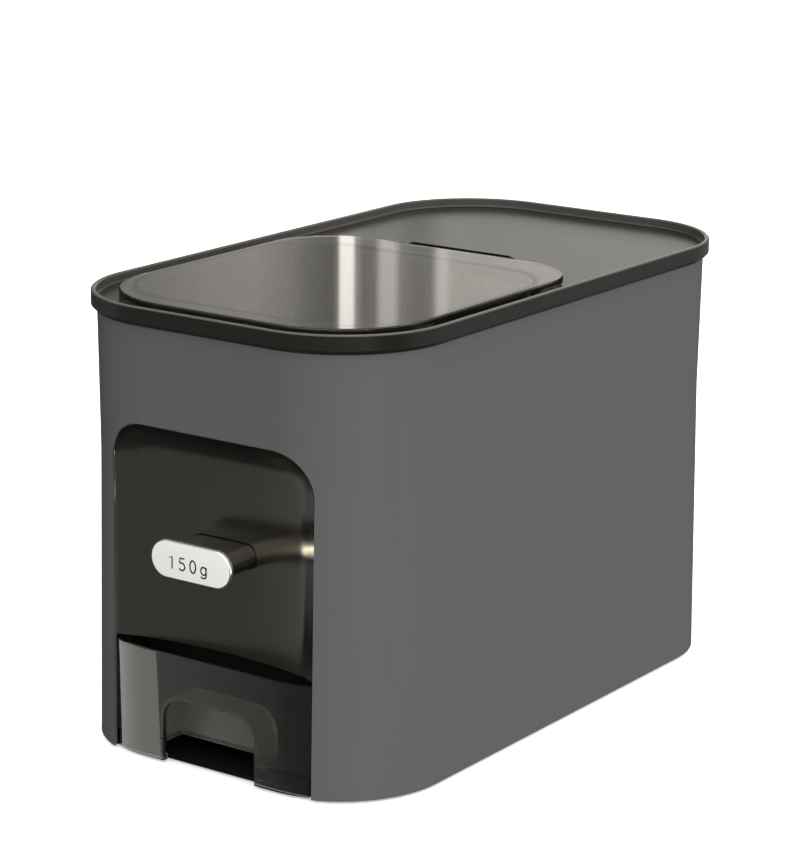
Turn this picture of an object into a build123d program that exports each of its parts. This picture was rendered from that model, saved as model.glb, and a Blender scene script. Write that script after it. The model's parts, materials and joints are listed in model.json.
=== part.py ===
from build123d import *
from math import radians, sqrt, tan
import os

# Rice storage bin with a push-button measuring valve and a drawer.
# Millimetres. X runs across the front, Y runs from the front (low) to the back, Z is up.
# Sizes are drawn about the centre of the rounded rim. The saved pieces are then moved back by
# half of what the button stands out, so the origin is under the middle of the whole bin.
# A size named deep is measured back from the rim's foremost line.

# Overall form
total_height = 280.0
rim_width = 240.8
rim_depth = 426.2
rim_corner = 71.3
rim_height = 11.8
rim_lip = 3.0
rim_drop = 5.9
rim_chamfer = 2.8
rim_bevel = 0.7
rim_cove = 1.6
deck_thick = 2.8
skirt_drop = 10.0
waist_height = 182.0
foot_inset = 1.8
waist_inset = 4.6
neck_inset = 3.6
wall = 2.5
thin_wall = 2.2
floor_gap = 1.5

# Clearances
fit_gap = 0.3
slide_gap = 0.3
seat_gap = 0.2
pin_gap = 0.06
hold_gap = 0.02
screw_gap = 0.1
spring_gap = 0.1

# How far a cutting or joining solid runs past a face
past = 1.0
far = 30.0

# Front opening, shared by the dispenser panel and the drawer
opening_margin = 45.4
opening_top = 209.0
opening_corner = 26.5
panel_over_drawer = 2.5
panel_deep = 29.1
panel_set_back = 0.8
dish_deep = 22.6
dish_bow = 12.0
dish_cove = 14.0
dish_top_margin = 3.0

# Push button
button_height = 135.6
button_wide = 59.4
button_tall = 23.0
button_face_thick = 3.0
button_stand = 10.2
button_bevel = 1.0
button_stem_wide = 48.0
button_stem_tall = 14.8
button_travel = 23.7
button_wall = 2.0
button_post_x = 15.0
boss_wall = 1.5

# Drawer
drawer_top = 70.0
drawer_set_back = 4.8
drawer_side_gap = 0.7
drawer_deep = 129.1
drawer_back_height = 34.0
drawer_mid_height = 43.0
drawer_floor = 13.2
drawer_skin_foot = 1.6
drawer_lip_top = 5.2
drawer_lip_thick = 1.8
drawer_slope_deep = 28.1
drawer_slope_end = 10.0
grip_width = 69.2
grip_top = 42.7
grip_corner = 13.8
grip_deep = 23.1
base_notch_gap = 3.5
runner_x = 56.0
runner_thick = 3.0
runner_end = 4.0
guide_deep = 31.1
guide_past_drawer = 20.0
guide_top = 30.0
stop_wide = 44.0
stop_thick = 4.7
stop_top = 22.0

# Stainless hopper
liner_behind_panel = 1.5
liner_sheet = 0.8
liner_flange = 3.5
liner_knee = 178.0
liner_slope_deg = 12.0
liner_flat_ahead = 8.0
liner_flat_after = 6.0
seal_thick = 1.2
seal_lap = 0.5

# Measuring valve
chamber_front_deep = 101.1
chamber_length = 42.0
chamber_side = 18.7
chamber_low = 54.0
chamber_high = 95.0
slope_top = 76.0
slope_ease = 1.0
slot_length = 18.0
slot_margin = 1.0
slot_inset = 2.0
throat_set = 14.0
throat_margin = 24.0
shutter_thick = 2.5
shutter_lap = 2.0
shutter_end = 5.0
arm_thick = 4.0
arm_tall = 6.0
yoke_gap = 2.3
bridge_behind_panel = 6.0
bridge_thick = 3.0
bridge_over_button = 9.4
tongue_half = 28.0
plate_thick = 2.0
tray_thick = 2.7
tray_margin = 4.0
chamber_seat_wide = 6.0
chamber_seat_tall = 3.5
chamber_seat_top = 75.0
chamber_flange = 3.0
ledge_wide = 3.0
ledge_tall = 3.0

# Return springs
spring_x = 40.0
spring_z = 72.0
spring_radius = 5.4
spring_wire = 1.2
spring_pitch = 5.2
spring_boss = 2.0
guide_radius = 3.0
guide_end_gap = 3.8
guide_skin = 1.0

# Inner frame and base
frame_over_opening = 5.0
frame_wall = 2.5
frame_back_margin = 37.1
cross_front_deep = 182.3
cross_back_set = 66.0
base_thick = 3.0
foot_radius = 9.0
foot_thick = 3.2
foot_chamfer = 0.6
foot_side = 42.4
foot_end = 45.1
post_radius = 4.5
post_apart = 1.0
post_top = 24.0
post_roof = 3.0
rib_thick = 2.4
shell_post_front = 103.1
shell_post_back = 93.1
frame_post_end = 153.1
screw_radius = 1.3
screw_head = 2.8
screw_head_thick = 1.6
screw_grip = 8.0
ear_heights = (98.0, 156.0)
ear_side = 11.0
ear_wide = 5.0
ear_thick = 3.0
ear_tall = 12.0

# Lid and its mouth
lid_side = 14.4
lid_deep = 14.2
lid_length = 238.7
lid_front_corner = 63.0
lid_rear_corner = 46.0
lid_gap = 0.4
lid_thick = 3.0
lid_skirt = 2.5
lid_edge = 1.2
mouth_side = 8.0
mouth_front_set = 19.9
mouth_rear_set = 29.8
mouth_front_corner = 50.0
mouth_rear_corner = 42.0
gasket_wide = 3.0
gasket_margin = 2.5
gasket_rib = 1.6
gasket_rib_lift = 1.4

# Lid hinge
hinge_behind_lid = 2.7
hinge_drop = 7.4
hinge_pin = 1.5
lug_radius = 3.2
lug_x = 36.0
lug_wide = 12.0
hinge_ear = 2.2
hinge_ear_gap = 0.3
hinge_ear_over = 1.2
slot_before_hinge = 7.0
slot_after_hinge = 3.7
slot_side = 4.0
trough_drop = 5.6
trough_wall = 1.5

# Worked out: shell and rim
front_plane = -rim_depth / 2
back_plane = rim_depth / 2
centre_shift = button_stand / 2
rim_bottom = total_height - rim_height
deck_top = total_height - rim_drop
deck_low = deck_top - deck_thick
body_low = floor_gap
base_top = body_low + base_thick
skirt_inset = neck_inset + wall + fit_gap
hollow_inset = skirt_inset + thin_wall

# Worked out: front
opening_half = rim_width / 2 - opening_margin
panel_bottom = drawer_top + panel_over_drawer
panel_back = front_plane + panel_deep
dish_centre = front_plane + dish_deep
button_face_front = front_plane - button_stand
stem_front = button_face_front + button_face_thick
bore_wide = button_stem_wide + 2 * slide_gap
bore_tall = button_stem_tall + 2 * slide_gap
boss_wide = bore_wide + 2 * boss_wall
boss_tall = bore_tall + 2 * boss_wall
boss_front = dish_centre + wall / 2
tub_half = opening_half - drawer_side_gap
drawer_back = front_plane + drawer_deep
drawer_slope_front = front_plane + drawer_slope_deep
drawer_inner = front_plane + drawer_set_back + thin_wall
grip_back = front_plane + grip_deep
guide_front = front_plane + guide_deep
guide_rear = drawer_back + guide_past_drawer

# Worked out: frame and posts
frame_half = opening_half + frame_over_opening
frame_back = back_plane - frame_back_margin
cross_walls = (front_plane + cross_front_deep, frame_back - cross_back_set)
foot_x = rim_width / 2 - foot_side
foot_y = back_plane - foot_end
ear_x = opening_half + ear_side
frame_post_x = frame_half + frame_wall + post_radius
frame_post_y = back_plane - frame_post_end
shell_post_x = frame_post_x + 2 * post_radius + post_apart
shell_post_y = (front_plane + shell_post_front, back_plane - shell_post_back)
shell_posts = [(x, y) for x in (-shell_post_x, shell_post_x) for y in shell_post_y]
frame_posts = [(x, y) for x in (-frame_post_x, frame_post_x) for y in (-frame_post_y, frame_post_y)]

# Worked out: measuring valve, a chamber with one sloping floor that leads to the drop slot
chamber_front = front_plane + chamber_front_deep
chamber_rear = chamber_front + chamber_length
chamber_mid = (chamber_front + chamber_rear) / 2
chamber_half = frame_half - chamber_side
chamber_outer = chamber_half + thin_wall
chamber_floor_low = chamber_low - thin_wall
chamber_screw_x = frame_half - chamber_seat_wide / 2
drop_front = chamber_front + slot_margin
drop_rear = drop_front + slot_length
chamber_points = [
    (chamber_front, chamber_high), (chamber_front, chamber_low), (drop_rear, chamber_low),
    (chamber_rear, slope_top), (chamber_rear, chamber_high),
]
slot_half = chamber_half - slot_inset
throat_front = chamber_front + throat_set
throat_rear = throat_front + slot_length
throat_plate_front = throat_front - throat_margin
throat_plate_rear = throat_rear + throat_margin
shutter_high = chamber_high + slide_gap
throat_low = shutter_high + shutter_thick + slide_gap
throat_top = throat_low + plate_thick
shutter_low_top = chamber_floor_low - slide_gap
shutter_low = shutter_low_top - shutter_thick
tray_top = shutter_low - slide_gap
tray_low = tray_top - tray_thick
upper_front = chamber_front - button_travel - shutter_lap
upper_rear = throat_rear + button_travel
lower_front = drop_front - button_travel - shutter_end
lower_rear = drop_rear + shutter_end
tray_front = lower_front - tray_margin
tray_rear = lower_rear + button_travel + tray_margin
arm_low_x = chamber_outer + yoke_gap
arm_high_x = arm_low_x + arm_thick
bridge_front = panel_back + bridge_behind_panel
bridge_back = bridge_front + bridge_thick
bridge_top = button_height + bridge_over_button
spring_seat = chamber_front - thin_wall - spring_boss

# Worked out: hopper
liner_front = panel_back + liner_behind_panel
liner_inset = hollow_inset + fit_gap + liner_flange
liner_half = rim_width / 2 - liner_inset
liner_back = back_plane - liner_inset
liner_corner = rim_corner - liner_inset
liner_low = throat_top
liner_flat_front = throat_front - liner_flat_ahead
liner_flat_rear = throat_rear + liner_flat_after
liner_rise = tan(radians(liner_slope_deg))
liner_back_low = liner_low + (liner_back - liner_flat_rear) * liner_rise
flange_top = deck_low - seal_thick

# Worked out: lid and hinge
lid_half = rim_width / 2 - lid_side
lid_front = front_plane + lid_deep
lid_rear = lid_front + lid_length
lid_low = deck_top + lid_gap
lid_under = total_height - lid_thick
mouth_half = lid_half - mouth_side
mouth_front = lid_front + mouth_front_set
mouth_rear = lid_rear - mouth_rear_set
hinge_y = lid_rear + hinge_behind_lid
hinge_z = total_height - hinge_drop
hinge_slot_front = hinge_y - slot_before_hinge
hinge_slot_rear = hinge_y + slot_after_hinge
hinge_slot_half = lug_x + lug_wide + slot_side
trough_low = deck_low - trough_drop


def block(x0, x1, y0, y1, z0, z1):
    return Pos((x0 + x1) / 2, (y0 + y1) / 2, (z0 + z1) / 2) * Box(x1 - x0, y1 - y0, z1 - z0)


def outline(inset):
    return RectangleRounded(rim_width - 2 * inset, rim_depth - 2 * inset, rim_corner - inset)


def slab(sheet, low, high):
    return extrude(Pos(0, 0, low) * sheet, amount=high - low)


def front_prism(sheet, front, rear):
    # The sheet is drawn with X across and Z up
    plane = Plane((0, rear, 0), x_dir=(1, 0, 0), z_dir=(0, -1, 0))
    return extrude(plane * sheet, amount=rear - front)


def side_prism(points, low_x, high_x):
    # The points are pairs of Y and Z
    plane = Plane((low_x, 0, 0), x_dir=(0, 1, 0), z_dir=(1, 0, 0))
    return extrude(plane * make_face(Polyline(*points, close=True)), amount=high_x - low_x)


def pad(half, front, rear, front_corner, rear_corner):
    sheet = Pos(0, (front + rear) / 2) * Rectangle(2 * half, rear - front)
    sheet = fillet(sheet.vertices().sort_by(Axis.Y)[:2], front_corner)
    return fillet(sheet.vertices().sort_by(Axis.Y)[-2:], rear_corner)


def arch(width, low, high, corner):
    sheet = Pos(0, (low + high) / 2) * Rectangle(width, high - low)
    return fillet(sheet.vertices().sort_by(Axis.Y)[-2:], corner)


def stadium(wide, tall, front, rear):
    return front_prism(Pos(0, button_height) * SlotOverall(wide, tall), front, rear)


def rod_x(radius, y, z, x0, x1):
    return Pos((x0 + x1) / 2, y, z) * Rot(0, 90, 0) * Cylinder(radius, x1 - x0)


def rod_y(radius, x, z, y0, y1):
    return Pos(x, (y0 + y1) / 2, z) * Rot(90, 0, 0) * Cylinder(radius, y1 - y0)


def rod_z(radius, x, y, z0, z1):
    return Pos(x, y, (z0 + z1) / 2) * Cylinder(radius, z1 - z0)


def both_sides(piece):
    return piece + mirror(piece, Plane.YZ)


def save(name, *pieces):
    moved = [Pos(0, centre_shift, 0) * piece for piece in pieces]
    export_step(moved[0] if len(moved) == 1 else Compound(children=moved), "parts/" + name + ".step")


def body_form(shrink):
    # Tapers in to a waist, then widens again to the neck under the rim
    low = Pos(0, 0, body_low) * outline(foot_inset + shrink)
    waist = Pos(0, 0, waist_height) * outline(waist_inset + shrink)
    neck = Pos(0, 0, rim_bottom) * outline(neck_inset + shrink)
    return loft([low, waist], ruled=True) + loft([waist, neck], ruled=True)


def outer_shell():
    form = body_form(0)
    shell = form - body_form(wall)
    cut = arch(2 * opening_half, -far, opening_top, opening_corner)
    shell -= front_prism(cut, front_plane - far, panel_back)
    reach = rim_width / 2 + past
    for x, y in shell_posts:
        rib = block(
            min(x, -reach if x < 0 else reach), max(x, -reach if x < 0 else reach),
            y - rib_thick / 2, y + rib_thick / 2, base_top, post_top,
        )
        post = rod_z(post_radius, x, y, base_top, post_top) + rib
        shell += post & form
        shell -= rod_z(screw_radius + screw_gap, x, y, base_top - past, post_top - post_roof)
    return shell


def base_plate():
    plate = slab(outline(foot_inset + wall + fit_gap), body_low, base_top)
    notch_back = drawer_inner + base_notch_gap
    plate -= block(-opening_half, opening_half, front_plane - far, notch_back, 0, base_top + past)
    for x, y in shell_posts + frame_posts:
        plate -= rod_z(screw_radius + screw_gap, x, y, 0, base_top + past)
        plate -= rod_z(screw_head + screw_gap, x, y, 0, body_low + screw_head_thick)
    for x in (-foot_x, foot_x):
        for y in (-foot_y, foot_y):
            plate -= rod_z(foot_radius + fit_gap, x, y, 0, foot_thick)
    return plate


def foot(x, y):
    pad_solid = rod_z(foot_radius, x, y, 0, foot_thick)
    return chamfer(pad_solid.edges().sort_by(Axis.Z)[0], foot_chamfer)


def screw_up(x, y):
    head = rod_z(screw_head, x, y, body_low + seat_gap, body_low + screw_head_thick)
    return head + rod_z(screw_radius, x, y, body_low + screw_head_thick, post_top - 2 * post_roof)


def liner_line(shift):
    # Front slope, flat outlet and rear slope of the hopper's underside, as pairs of Y and Z
    knee = (liner_front, liner_knee + shift)
    flat = [(liner_flat_front, liner_low + shift), (liner_flat_rear, liner_low + shift)]
    rear = (liner_back, liner_back_low + shift)
    return [knee] + flat + [rear]


def frame_top(y):
    return liner_low - seat_gap + (y - liner_flat_rear) * liner_rise


def inner_frame():
    top = liner_line(-seat_gap)
    side = [(panel_back, base_top), (panel_back, top[0][1])] + top[:3]
    side += [(frame_back, frame_top(frame_back)), (frame_back, base_top)]
    plate = side_prism(side, frame_half, frame_half + frame_wall)
    plate += block(
        frame_half, ear_x + ear_wide, panel_back, panel_back + ear_thick, base_top, liner_knee - ear_tall
    )
    plate += block(
        frame_half, frame_post_x + post_radius, drawer_back, frame_back, base_top, base_top + frame_wall
    )
    for x, y in frame_posts:
        if x > 0:
            plate += rod_z(post_radius, x, y, base_top, post_top)
    for z in ear_heights:
        plate += rod_y(post_radius, ear_x, z, panel_back, panel_back + screw_grip + post_roof)
    plate += block(
        frame_half - chamber_seat_wide, frame_half, chamber_front, chamber_rear,
        chamber_seat_top - chamber_seat_tall, chamber_seat_top,
    )
    ledge = frame_half - ledge_wide
    plate += block(
        ledge, frame_half, throat_plate_front, throat_plate_rear, throat_low - ledge_tall, throat_low
    )
    plate += block(ledge, frame_half, tray_front, tray_rear, tray_low - ledge_tall, tray_low)
    frame = both_sides(plate)
    for y in cross_walls:
        frame += block(-frame_half, frame_half, y, y + frame_wall, base_top, frame_top(y))
    for x, y in frame_posts:
        frame -= rod_z(screw_radius + screw_gap, x, y, base_top - past, post_top - post_roof)
    for x in (-ear_x, ear_x):
        for z in ear_heights:
            deep = panel_back + screw_grip + past
            frame -= rod_y(screw_radius + screw_gap, x, z, panel_back - past, deep)
    seat_low = chamber_seat_top - chamber_seat_tall
    for x in (-chamber_screw_x, chamber_screw_x):
        frame -= rod_z(screw_radius + screw_gap, x, chamber_mid, seat_low - past, chamber_seat_top + past)
    return frame


def top_frame():
    band = slab(outline(0), rim_bottom, total_height)
    band = chamfer(band.edges().group_by(Axis.Z)[0], rim_chamfer)
    band = chamfer(band.edges().group_by(Axis.Z)[-1], rim_bevel)
    tray = slab(outline(rim_lip), deck_top, total_height + past)
    band -= fillet(tray.edges().group_by(Axis.Z)[0], rim_cove)
    lip_edge = band.faces().sort_by(Axis.Z)[-1].inner_wires()[0].edges()
    band = chamfer(lip_edge, rim_bevel)
    band += slab(outline(skirt_inset), rim_bottom - skirt_drop, rim_bottom + past)
    band -= slab(outline(hollow_inset), rim_bottom - skirt_drop - past, deck_low)
    band += block(
        -hinge_slot_half - trough_wall, hinge_slot_half + trough_wall,
        hinge_slot_front - trough_wall, hinge_slot_rear + trough_wall,
        trough_low - trough_wall, deck_low,
    )
    band -= block(
        -hinge_slot_half, hinge_slot_half, hinge_slot_front, hinge_slot_rear, trough_low, deck_top + past
    )
    ear_high = hinge_z + hinge_ear_over
    for low in (lug_x - hinge_ear_gap - hinge_ear, lug_x + lug_wide + hinge_ear_gap):
        high = low + hinge_ear
        ear = block(low, high, hinge_slot_front, hinge_slot_rear, trough_low, ear_high)
        band += both_sides(ear)
        band -= both_sides(rod_x(hinge_pin + hold_gap, hinge_y, hinge_z, low - past, high + past))
    band -= slab(mouth_sheet(0), deck_low - past, deck_top + past)
    return band


def mouth_sheet(grow):
    return pad(
        mouth_half + grow, mouth_front - grow, mouth_rear + grow,
        mouth_front_corner + grow, mouth_rear_corner + grow,
    )


def lid_sheet(shrink):
    return pad(
        lid_half - shrink, lid_front + shrink, lid_rear - shrink,
        lid_front_corner - shrink, lid_rear_corner - shrink,
    )


def lid_panel():
    lid = slab(lid_sheet(0), lid_low, total_height)
    lid = fillet(lid.edges().group_by(Axis.Z)[-1], lid_edge)
    lid -= slab(lid_sheet(lid_skirt), lid_low - past, lid_under)
    outside = gasket_margin + gasket_wide + seat_gap
    inside = gasket_margin - seat_gap
    lid += slab(mouth_sheet(outside + gasket_rib), lid_low, lid_under) - slab(
        mouth_sheet(outside), lid_low - past, total_height
    )
    lid += slab(mouth_sheet(inside), lid_low + gasket_rib_lift, lid_under) - slab(
        mouth_sheet(inside - gasket_rib), lid_low, total_height
    )
    lug_low = hinge_z - lug_radius
    lug_high = hinge_z + lug_radius
    root = block(lug_x, lug_x + lug_wide, lid_rear - lid_skirt, lid_rear, lug_low, lid_under)
    neck = block(lug_x, lug_x + lug_wide, lid_rear, hinge_y, lug_low, lug_high)
    lug = root + neck + rod_x(lug_radius, hinge_y, hinge_z, lug_x, lug_x + lug_wide)
    lug -= rod_x(hinge_pin + pin_gap, hinge_y, hinge_z, lug_x - past, lug_x + lug_wide + past)
    return lid + both_sides(lug)


def lid_gasket():
    low = deck_top + seat_gap
    return slab(mouth_sheet(gasket_margin + gasket_wide), low, lid_under) - slab(
        mouth_sheet(gasket_margin), low - past, lid_under + past
    )


def hinge_pin_rod():
    reach = hinge_ear_gap + hinge_ear - seat_gap
    return rod_x(hinge_pin, hinge_y, hinge_z, lug_x - reach, lug_x + lug_wide + reach)


def liner_sheet_form(grow):
    return pad(
        liner_half + grow, liner_front - grow, liner_back + grow,
        liner_corner + grow, liner_corner + grow,
    )


def liner_form(inset):
    line = liner_line(inset)
    top = flange_top + past
    side = [(liner_front - past, top), (liner_front - past, line[0][1])] + line
    side += [(liner_back + past, liner_back_low + inset), (liner_back + past, top)]
    form = slab(liner_sheet_form(-inset), liner_low, flange_top)
    return form & side_prism(side, -liner_half - past, liner_half + past)


def hopper_liner():
    inside = liner_form(liner_sheet)
    liner = liner_form(0)
    liner += slab(liner_sheet_form(liner_flange), flange_top - liner_sheet, flange_top)
    liner -= inside
    liner -= block(
        -slot_half, slot_half, throat_front, throat_rear, liner_low - past, liner_low + liner_sheet + past
    )
    print("hopper litres", round(inside.volume / 1e6, 2))
    return liner


def liner_seal():
    return slab(liner_sheet_form(liner_flange), flange_top, deck_low) - slab(
        liner_sheet_form(-seal_lap), flange_top - past, deck_low + past
    )


def outlet_throat():
    half = frame_half - fit_gap
    plate = block(-half, half, throat_plate_front, throat_plate_rear, throat_low, throat_top)
    return plate - block(
        -slot_half, slot_half, throat_front, throat_rear, throat_low - past, throat_top + past
    )


def metering_chamber():
    outer = [
        (chamber_front - thin_wall, chamber_high), (chamber_front - thin_wall, chamber_floor_low),
        (drop_rear + slope_ease, chamber_floor_low), (chamber_rear + thin_wall, slope_top - slope_ease),
        (chamber_rear + thin_wall, chamber_high),
    ]
    box_solid = side_prism(outer, -chamber_outer, chamber_outer)
    flange_roof = chamber_seat_top + chamber_flange
    flange = block(
        chamber_outer - past, frame_half - fit_gap,
        chamber_front, chamber_rear, chamber_seat_top, flange_roof,
    )
    box_solid += both_sides(flange)
    for x in (-spring_x, spring_x):
        box_solid += rod_y(2 * guide_radius, x, spring_z, spring_seat, chamber_front - past)
    portion = side_prism(chamber_points, -chamber_half, chamber_half)
    print("portion millilitres", round(portion.volume / 1000, 1))
    box_solid -= portion
    box_solid -= block(
        -slot_half, slot_half, drop_front, drop_rear, chamber_floor_low - past, chamber_low + past
    )
    for x in (-spring_x, spring_x):
        hole_end = chamber_front - guide_skin + seat_gap
        box_solid -= rod_y(guide_radius + hold_gap, x, spring_z, spring_seat - past, hole_end)
    for x in (-chamber_screw_x, chamber_screw_x):
        low, high = chamber_seat_top - past, flange_roof + past
        box_solid -= rod_z(screw_radius + screw_gap, x, chamber_mid, low, high)
    return box_solid


def chamber_screw(x):
    top = chamber_seat_top + chamber_flange
    head = rod_z(screw_head, x, chamber_mid, top, top + screw_head_thick)
    return head + rod_z(screw_radius, x, chamber_mid, chamber_seat_top - chamber_seat_tall, top)


def guide_pin(x):
    front = bridge_back + button_travel + guide_end_gap
    return rod_y(guide_radius, x, spring_z, front, chamber_front - guide_skin)


def return_spring(x):
    low = bridge_back + spring_wire / 2 + spring_gap
    high = spring_seat - spring_wire / 2 - spring_gap
    path = Helix(spring_pitch, high - low, spring_radius, center=(x, low, spring_z), direction=(0, 1, 0))
    start = path @ 0
    profile = Plane(start, z_dir=path % 0) * Circle(spring_wire / 2)
    return sweep(profile, path=path, is_frenet=True)


def shutter(low, window_front, front, rear):
    high = low + shutter_thick
    plate = block(-arm_low_x, arm_low_x, front, rear, low, high)
    return plate - block(
        -slot_half, slot_half, window_front, window_front + slot_length, low - past, high + past
    )


def push_yoke():
    lower_top = shutter_low + arm_tall
    upper_top = shutter_high + shutter_thick
    upper_low = upper_top - arm_tall
    bridge = block(-arm_high_x, arm_high_x, bridge_front, bridge_back, shutter_low, upper_top)
    bridge += block(-tongue_half, tongue_half, bridge_front, bridge_back, upper_low, bridge_top)
    arms = block(arm_low_x, arm_high_x, bridge_front, upper_rear, upper_low, upper_top)
    arms += block(arm_low_x, arm_high_x, bridge_front, lower_rear, shutter_low, lower_top)
    yoke = bridge + both_sides(arms)
    for x in (-button_post_x, button_post_x):
        yoke -= rod_y(screw_radius + screw_gap, x, button_height, bridge_front - past, bridge_back + past)
    return yoke


def button_body():
    body = stadium(button_stem_wide, button_stem_tall, stem_front, bridge_front)
    body -= stadium(
        button_stem_wide - 2 * button_wall, button_stem_tall - 2 * button_wall,
        stem_front + button_wall, bridge_front + past,
    )
    for x in (-button_post_x, button_post_x):
        body += rod_y(post_radius, x, button_height, stem_front + past, bridge_front)
        hole_front = bridge_front - screw_grip - past
        body -= rod_y(screw_radius + screw_gap, x, button_height, hole_front, bridge_front + past)
    return body


def button_face():
    face = stadium(button_wide, button_tall, button_face_front, stem_front)
    return chamfer(face.edges().group_by(Axis.Y)[0], button_bevel)


def button_screw(x):
    head = rod_y(screw_head, x, button_height, bridge_back, bridge_back + screw_head_thick)
    return head + rod_y(screw_radius, x, button_height, bridge_front - screw_grip, bridge_back)


def dish(grow):
    # A wide upright cylinder in front of the panel; its rounded top edge makes the cove
    radius = (opening_half**2 + dish_bow**2) / (2 * dish_bow)
    high = opening_top - dish_top_margin + grow
    cylinder = rod_z(radius + grow, 0, dish_centre - radius, -far, high)
    return fillet(cylinder.edges().group_by(Axis.Z)[-1], dish_cove)


def dispenser_panel():
    half = opening_half - fit_gap
    corner = opening_corner - fit_gap
    sheet = arch(2 * half, panel_bottom, opening_top - fit_gap, corner)
    inner = arch(2 * (half - wall), panel_bottom - far, opening_top - fit_gap - wall, corner - wall)
    trim = slab(outline(waist_inset + panel_set_back), 0, total_height)
    panel = front_prism(sheet, front_plane - past, panel_back) & trim
    panel -= dish(0)
    panel -= front_prism(inner, front_plane - past, panel_back + past) - dish(wall)
    panel += stadium(boss_wide, boss_tall, boss_front, panel_back)
    panel -= stadium(bore_wide, bore_tall, front_plane - far, panel_back + past)
    for z in ear_heights:
        low, high = z - ear_tall / 2, z + ear_tall / 2
        ear = block(half - wall, ear_x + ear_wide, panel_back - ear_thick, panel_back, low, high)
        panel += both_sides(ear)
        panel -= both_sides(rod_y(screw_radius + screw_gap, ear_x, z, panel_back - far, panel_back + past))
    return panel


def panel_screw(x, z):
    front = panel_back - ear_thick
    head = rod_y(screw_head, x, z, front - screw_head_thick, front)
    return head + rod_y(screw_radius, x, z, front, panel_back + screw_grip)


def drawer_tub():
    inner_half = tub_half - thin_wall
    under = drawer_inner + 2 * past
    skin = slab(outline(drawer_set_back), drawer_skin_foot, drawer_top)
    tub = skin & block(-tub_half, tub_half, front_plane, drawer_back, drawer_skin_foot, drawer_top)
    tub -= block(-tub_half - past, tub_half + past, under, drawer_back + past, 0, drawer_floor)
    under_block = block(-tub_half - past, tub_half + past, front_plane, under + past, 0, drawer_floor)
    tub -= slab(outline(drawer_set_back + thin_wall), drawer_lip_top, drawer_floor) & under_block
    tub -= slab(outline(drawer_set_back + thin_wall + drawer_lip_thick), 0, drawer_lip_top + past) & under_block
    hollow = slab(outline(drawer_set_back + thin_wall), drawer_floor + thin_wall, drawer_top + past)
    hollow &= block(
        -inner_half, inner_half, front_plane, drawer_back - thin_wall, drawer_floor, drawer_top + past
    )
    pocket_sheet = arch(grip_width + 2 * thin_wall, -far, grip_top + thin_wall, grip_corner + thin_wall)
    tub -= hollow - front_prism(pocket_sheet, front_plane, grip_back + thin_wall)
    tub -= front_prism(arch(grip_width, -far, grip_top, grip_corner), front_plane - past, grip_back)
    cut_back = drawer_back + far
    slope = [
        (drawer_slope_front, drawer_top), (tray_front - drawer_slope_end, drawer_mid_height),
        (drawer_back, drawer_back_height), (cut_back, drawer_back_height),
        (cut_back, drawer_top + far), (drawer_slope_front, drawer_top + far),
    ]
    tub -= side_prism(slope, -tub_half - past, tub_half + past)
    for x in (-runner_x, runner_x):
        tub += block(
            x - runner_thick / 2, x + runner_thick / 2, grip_back, drawer_back - runner_end,
            base_top + slide_gap, drawer_floor + past,
        )
    return tub


def shutter_tray():
    half = frame_half - fit_gap
    plate = block(-half, half, tray_front, tray_rear, tray_low, tray_top)
    return plate - block(
        -slot_half, slot_half, drop_front - slot_margin, drop_rear + slot_margin,
        tray_low - past, tray_top + past,
    )


def drawer_guide():
    low = opening_half
    rail = block(low, low + thin_wall, guide_front, guide_rear, base_top, guide_top)
    rail += block(low, frame_half - fit_gap, guide_front, guide_rear, base_top, base_top + thin_wall)
    return rail


def drawer_stop():
    half = stop_wide / 2
    front = drawer_back + slide_gap
    return block(-half, half, front, front + stop_thick, base_top, stop_top)


os.makedirs("parts", exist_ok=True)
save("outer_shell", outer_shell())
save("base_plate", base_plate())
for end, y in (("front", -foot_y), ("rear", foot_y)):
    for side, x in (("left", -foot_x), ("right", foot_x)):
        save("foot_" + end + "_" + side, foot(x, y))
save("base_screws", *[screw_up(x, y) for x, y in shell_posts + frame_posts])
save("inner_frame", inner_frame())
save("top_frame", top_frame())
save("liner_seal", liner_seal())
save("hopper_liner", hopper_liner())
save("outlet_throat", outlet_throat())
save("metering_chamber", metering_chamber())
save("chamber_screws", *[chamber_screw(x) for x in (-chamber_screw_x, chamber_screw_x)])
save("shutter_tray", shutter_tray())
save("upper_shutter", shutter(shutter_high, throat_front, upper_front, upper_rear))
save("lower_shutter", shutter(shutter_low, drop_front - button_travel, lower_front, lower_rear))
save("push_yoke", push_yoke())
save("button_body", button_body())
save("button_face", button_face())
save("button_screws", *[button_screw(x) for x in (-button_post_x, button_post_x)])
for side, x in (("left", -spring_x), ("right", spring_x)):
    save("guide_pin_" + side, guide_pin(x))
    save("return_spring_" + side, return_spring(x))
save("dispenser_panel", dispenser_panel())
save("panel_screws", *[panel_screw(x, z) for x in (-ear_x, ear_x) for z in ear_heights])
save("drawer_tub", drawer_tub())
save("drawer_guide_right", drawer_guide())
save("drawer_guide_left", mirror(drawer_guide(), Plane.YZ))
save("drawer_stop", drawer_stop())
save("lid_panel", lid_panel())
save("lid_gasket", lid_gasket())
save("hinge_pin_right", hinge_pin_rod())
save("hinge_pin_left", mirror(hinge_pin_rod(), Plane.YZ))
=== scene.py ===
import bpy
import bmesh
import json
from math import cos, hypot, pi, radians, sin, sqrt, tan
from mathutils import Matrix, Vector


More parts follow.
